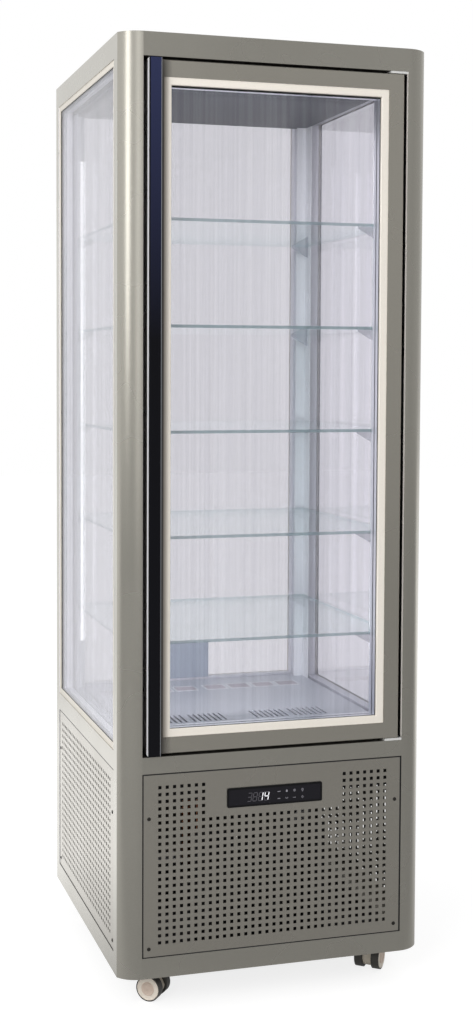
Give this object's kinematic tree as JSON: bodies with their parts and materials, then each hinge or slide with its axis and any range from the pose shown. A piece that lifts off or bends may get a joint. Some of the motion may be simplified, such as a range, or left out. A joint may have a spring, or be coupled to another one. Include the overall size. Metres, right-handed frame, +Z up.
{
  "type": "refrigerated display case",
  "caption": "Upright refrigerated display case on casters: glass on all sides, full-height glazed door, glass shelves, perforated machine panels with a control display.",
  "frame": {"origin": "on the floor under the middle of the outline", "axes": "+Z up, front faces -Y, +X to the right of a person who faces the front"},
  "size_m": [0.62, 0.65, 1.855],
  "materials": {
    "frame_paint": "satin",
    "panel_paint": "satin",
    "door_paint": "satin",
    "cream_trim": "satin",
    "clear_glass": "polished",
    "spacer_metal": "satin",
    "liner": "satin",
    "support_paint": "satin",
    "seal": "matte",
    "handle_metal": "satin",
    "handle_black": "gloss",
    "hinge_metal": "satin",
    "display_black": "gloss",
    "display_glass": "gloss",
    "plated_steel": "satin",
    "coil_metal": "satin",
    "compressor_paint": "gloss",
    "copper": "satin",
    "dark_plastic": "matte",
    "box_plastic": "matte",
    "caster_plastic": "satin",
    "wheel_plastic": "satin"
  },
  "bodies": {
    "cabinet": {"corner_post_front_left": "frame_paint", "corner_post_front_right": "frame_paint", "corner_post_rear_left": "frame_paint", "corner_post_rear_right": "frame_paint", "top_rails": "frame_paint", "mid_rails": "frame_paint", "base_rails": "frame_paint", "roof_panel": "frame_paint", "front_panel": "panel_paint", "left_panel": "panel_paint", "right_panel": "panel_paint", "rear_panel": "panel_paint", "glazing_trims": "cream_trim", "left_glass": "clear_glass", "right_glass": "clear_glass", "rear_glass": "clear_glass", "shelf_1": "clear_glass", "shelf_2": "clear_glass", "shelf_3": "clear_glass", "shelf_4": "clear_glass", "shelf_5": "clear_glass", "glazing_spacers": "spacer_metal", "floor_tray": "liner", "evaporator_tub": "liner", "door_surround": "liner", "shelf_standards": "support_paint", "shelf_brackets": "support_paint", "door_hinges": "hinge_metal", "display_housing": "display_black", "display_window": "display_glass", "base_plate": "plated_steel", "condenser_shroud": "plated_steel", "evaporator_fan_mount": "plated_steel", "condenser": "coil_metal", "evaporator": "coil_metal", "compressor": "compressor_paint", "refrigerant_pipes": "copper", "drain_pan": "dark_plastic", "control_box": "box_plastic"},
    "door": {"door_frame": "door_paint", "door_glass": "clear_glass", "door_spacers": "spacer_metal", "door_trim": "cream_trim", "door_gasket": "seal", "door_handle": "handle_metal", "handle_insert": "handle_black"},
    "condenser_fan": {"condenser_fan": "dark_plastic"},
    "evaporator_fan": {"evaporator_fan": "dark_plastic"},
    "caster_front_left": {"caster_hood_front_left": "caster_plastic"},
    "wheel_front_left_a": {"caster_wheel_front_left_a": "wheel_plastic"},
    "wheel_front_left_b": {"caster_wheel_front_left_b": "wheel_plastic"},
    "caster_front_right": {"caster_hood_front_right": "caster_plastic"},
    "wheel_front_right_a": {"caster_wheel_front_right_a": "wheel_plastic"},
    "wheel_front_right_b": {"caster_wheel_front_right_b": "wheel_plastic"},
    "caster_rear_left": {"caster_hood_rear_left": "caster_plastic"},
    "wheel_rear_left_a": {"caster_wheel_rear_left_a": "wheel_plastic"},
    "wheel_rear_left_b": {"caster_wheel_rear_left_b": "wheel_plastic"},
    "caster_rear_right": {"caster_hood_rear_right": "caster_plastic"},
    "wheel_rear_right_a": {"caster_wheel_rear_right_a": "wheel_plastic"},
    "wheel_rear_right_b": {"caster_wheel_rear_right_b": "wheel_plastic"}
  },
  "joints": [
    {"name": "door_hinge", "type": "hinge", "parent": "cabinet", "child": "door", "pos_m": [0.25, -0.295, 1.15375], "axis": [0, 0, 1], "range_deg": [0, 100]},
    {"name": "condenser_fan_spin", "type": "hinge", "parent": "cabinet", "child": "condenser_fan", "pos_m": [0, -0.188, 0.1905], "axis": [0, 1, 0], "continuous": true},
    {"name": "evaporator_fan_spin", "type": "hinge", "parent": "cabinet", "child": "evaporator_fan", "pos_m": [0, 0.048, 0.456], "axis": [0, 1, 0], "continuous": true},
    {"name": "swivel_front_left", "type": "hinge", "parent": "cabinet", "child": "caster_front_left", "pos_m": [-0.235, -0.218, 0.0722], "axis": [0, 0, 1], "continuous": true},
    {"name": "roll_front_left_a", "type": "hinge", "parent": "caster_front_left", "child": "wheel_front_left_a", "pos_m": [-0.22274, -0.22828, 0.025], "axis": [0.6428, 0.766, 0], "continuous": true},
    {"name": "roll_front_left_b", "type": "hinge", "parent": "caster_front_left", "child": "wheel_front_left_b", "pos_m": [-0.22274, -0.22828, 0.025], "axis": [0.6428, 0.766, 0], "continuous": true},
    {"name": "swivel_front_right", "type": "hinge", "parent": "cabinet", "child": "caster_front_right", "pos_m": [0.235, -0.218, 0.0722], "axis": [0, 0, 1], "continuous": true},
    {"name": "roll_front_right_a", "type": "hinge", "parent": "caster_front_right", "child": "wheel_front_right_a", "pos_m": [0.24529, -0.20574, 0.025], "axis": [-0.766, 0.6428, 0], "continuous": true},
    {"name": "roll_front_right_b", "type": "hinge", "parent": "caster_front_right", "child": "wheel_front_right_b", "pos_m": [0.24529, -0.20574, 0.025], "axis": [-0.766, 0.6428, 0], "continuous": true},
    {"name": "swivel_rear_left", "type": "hinge", "parent": "cabinet", "child": "caster_rear_left", "pos_m": [-0.235, 0.236, 0.0722], "axis": [0, 0, 1], "continuous": true},
    {"name": "roll_rear_left_a", "type": "hinge", "parent": "caster_rear_left", "child": "wheel_rear_left_a", "pos_m": [-0.22953, 0.22096, 0.025], "axis": [0.9397, 0.342, 0], "continuous": true},
    {"name": "roll_rear_left_b", "type": "hinge", "parent": "caster_rear_left", "child": "wheel_rear_left_b", "pos_m": [-0.22953, 0.22096, 0.025], "axis": [0.9397, 0.342, 0], "continuous": true},
    {"name": "swivel_rear_right", "type": "hinge", "parent": "cabinet", "child": "caster_rear_right", "pos_m": [0.235, 0.236, 0.0722], "axis": [0, 0, 1], "continuous": true},
    {"name": "roll_rear_right_a", "type": "hinge", "parent": "caster_rear_right", "child": "wheel_rear_right_a", "pos_m": [0.23914, 0.25145, 0.025], "axis": [-0.9659, 0.2588, 0], "continuous": true},
    {"name": "roll_rear_right_b", "type": "hinge", "parent": "caster_rear_right", "child": "wheel_rear_right_b", "pos_m": [0.23914, 0.25145, 0.025], "axis": [-0.9659, 0.2588, 0], "continuous": true}
  ]
}
